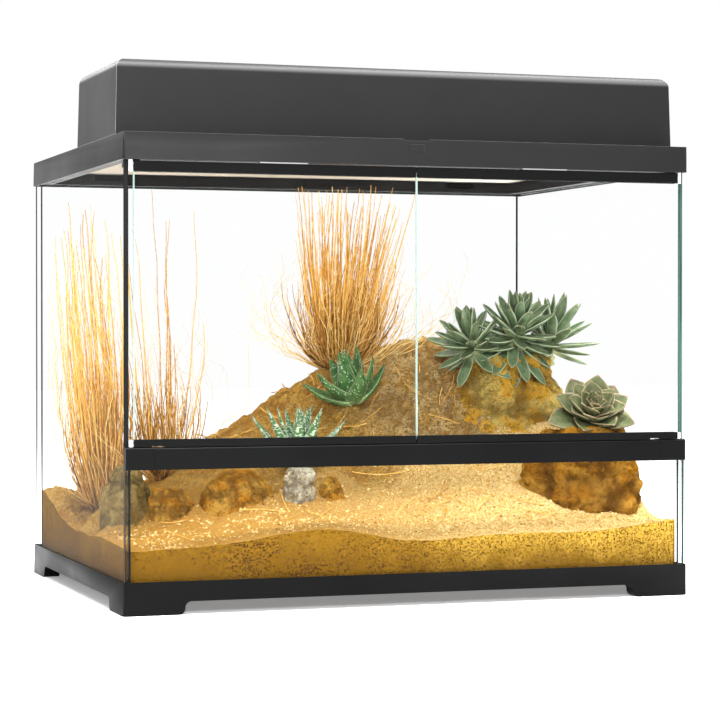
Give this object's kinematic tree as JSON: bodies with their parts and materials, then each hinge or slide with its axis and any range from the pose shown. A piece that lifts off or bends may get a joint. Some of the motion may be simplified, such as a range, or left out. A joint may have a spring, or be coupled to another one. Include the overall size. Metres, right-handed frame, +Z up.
{
  "type": "reptile terrarium",
  "caption": "Front-opening glass terrarium with hinged doors over a sill, a lift-out screen cover, a lighting hood, and a desert landscape of sand, rocks, dry grass and succulents.",
  "frame": {"origin": "middle of the footprint, on the surface that the feet stand on", "axes": "+X to the right seen from the front, +Y to the back, +Z up; the doors face -Y"},
  "size_m": [0.61, 0.46, 0.55],
  "materials": {
    "black_plastic": "moulded, fine satin grain",
    "charcoal_plastic": "moulded, fine grain, slightly dusty",
    "clear_glass": "clear float glass with green edges",
    "silicone": "black sealant",
    "nylon": "light grey nylon",
    "steel": "plain bright steel",
    "mesh_wire": "pale welded steel wire mesh",
    "reflector_sheet": "bright folded sheet",
    "holder_plastic": "cream thermoset",
    "lamp_glass": "opal lamp glass",
    "sand": "dry granular sand with dark specks",
    "mossy_stone": "rough grey-green stone",
    "brown_stone": "rough brown stone",
    "pale_stone": "pale sandstone",
    "ochre_stone": "ochre rock with dark patches",
    "dry_grass": "dry straw",
    "banded_leaf": "grey-green leaf with pale bands",
    "dark_leaf": "dark green leaf with pale spots",
    "agave_leaf": "grey-green leaf with pale edges",
    "rosette_leaf": "grey-green leaf with rosy tips"
  },
  "bodies": {
    "tank": {"base_frame": "black_plastic", "floor_glass": "clear_glass", "left_glass": "clear_glass", "right_glass": "clear_glass", "back_glass": "clear_glass", "front_glass": "clear_glass", "front_corner_beads": "silicone", "back_corner_beads": "silicone", "front_sill": "black_plastic", "left_sill_cap": "black_plastic", "right_sill_cap": "black_plastic", "top_frame": "charcoal_plastic", "keeper_plates": "steel", "button_spring": "steel", "substrate": "sand", "left_stone": "mossy_stone", "slab_stone": "brown_stone", "brown_boulder": "brown_stone", "pale_stone": "pale_stone", "dark_stone": "brown_stone", "right_rock": "ochre_stone", "upper_rock": "ochre_stone", "left_grass": "dry_grass", "middle_grass": "dry_grass", "centre_grass": "dry_grass", "banded_aloe": "banded_leaf", "green_aloe": "dark_leaf", "agave_cluster": "agave_leaf", "echeveria": "rosette_leaf"},
    "left_door": {"left_door_glass": "clear_glass", "left_top_rail": "black_plastic", "left_bottom_rail": "black_plastic", "left_upper_pivot": "nylon", "left_lower_pivot": "nylon", "left_magnet": "steel"},
    "right_door": {"right_door_glass": "clear_glass", "right_top_rail": "black_plastic", "right_bottom_rail": "black_plastic", "right_upper_pivot": "nylon", "right_lower_pivot": "nylon", "right_magnet": "steel"},
    "button": {"cover_button": "charcoal_plastic"},
    "left_gate": {"left_inlet_gate": "black_plastic"},
    "right_gate": {"right_inlet_gate": "black_plastic"},
    "cover": {"screen_frame": "charcoal_plastic", "screen_mesh": "mesh_wire"},
    "hood": {"hood_shell": "charcoal_plastic", "hood_pads": "charcoal_plastic", "reflector": "reflector_sheet", "reflector_screws": "steel", "lamp_holders": "holder_plastic", "lamps": "lamp_glass", "switch_body": "black_plastic", "cable_gland": "black_plastic"},
    "rocker": {"switch_rocker": "black_plastic"}
  },
  "joints": [
    {"name": "left_door_hinge", "type": "hinge", "parent": "tank", "child": "left_door", "pos_m": [-0.2963, -0.226, 0.306], "axis": [0, 0, -1], "range_deg": [0, 110]},
    {"name": "right_door_hinge", "type": "hinge", "parent": "tank", "child": "right_door", "pos_m": [0.2963, -0.226, 0.306], "axis": [0, 0, 1], "range_deg": [0, 110]},
    {"name": "button_press", "type": "slide", "parent": "tank", "child": "button", "axis": [0, 1, 0], "range_m": [0, 0.0025], "stiffness_N_per_m": 400, "springref_m": -0.002},
    {"name": "left_gate_slide", "type": "slide", "parent": "tank", "child": "left_gate", "axis": [-1, 0, 0], "range_m": [0, 0.04]},
    {"name": "right_gate_slide", "type": "slide", "parent": "tank", "child": "right_gate", "axis": [1, 0, 0], "range_m": [0, 0.04]},
    {"name": "cover_lift", "type": "slide", "parent": "tank", "child": "cover", "axis": [0, 0, 1], "range_m": [0, 0.15]},
    {"name": "hood_lift", "type": "slide", "parent": "cover", "child": "hood", "axis": [0, 0, 1], "range_m": [0, 0.15]},
    {"name": "switch_rock", "type": "hinge", "parent": "hood", "child": "rocker", "pos_m": [0.245, -0.01395, 0.5042], "axis": [1, 0, 0], "range_deg": [0, 14]}
  ]
}
